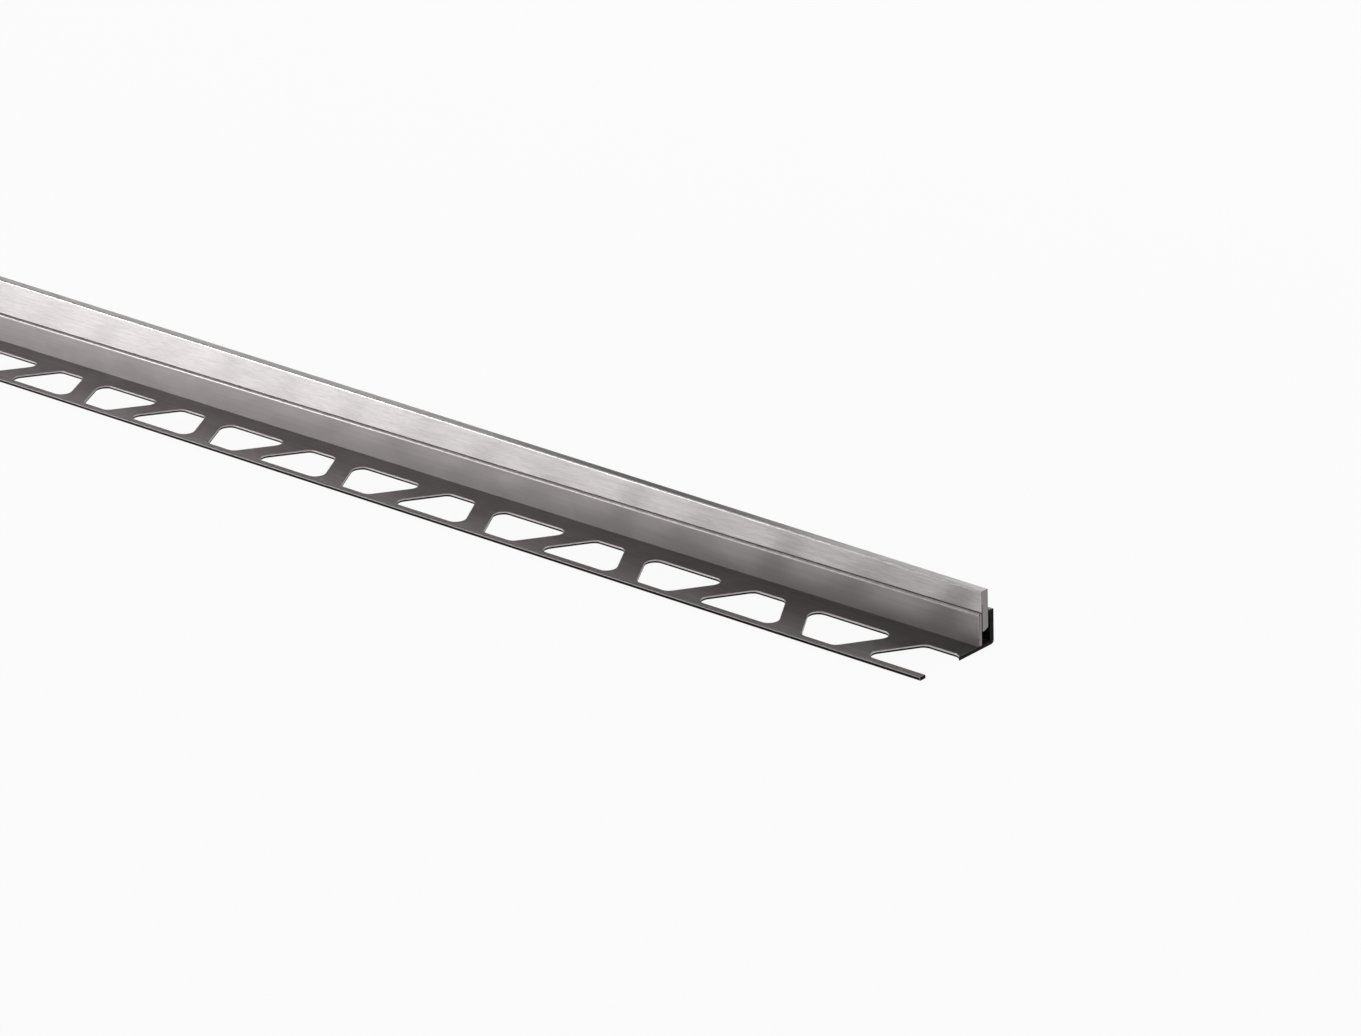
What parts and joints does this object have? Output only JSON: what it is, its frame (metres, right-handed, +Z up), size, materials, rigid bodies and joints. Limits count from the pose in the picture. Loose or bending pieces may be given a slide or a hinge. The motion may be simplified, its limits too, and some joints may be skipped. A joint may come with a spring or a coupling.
{
  "type": "shower edge profile",
  "caption": "Two-part metal edge profile for a sloped tiled shower floor: perforated anchoring leg, tile stop wall and channel with a brushed tapered insert.",
  "frame": {"origin": "middle of the footprint, on the underside of the anchoring leg", "axes": "+X along the profile towards the low end of the wedge, +Y from the leg's free edge to the back of the channel, +Z up"},
  "size_m": [1, 0.0296, 0.0299],
  "materials": {
    "support_metal": "satin, plain drawn surface, slightly warm grey",
    "brushed_insert": "brushed along the length, semi-gloss"
  },
  "bodies": {
    "root": {"support_profile": "support_metal", "wedge_insert": "brushed_insert"}
  },
  "joints": []
}
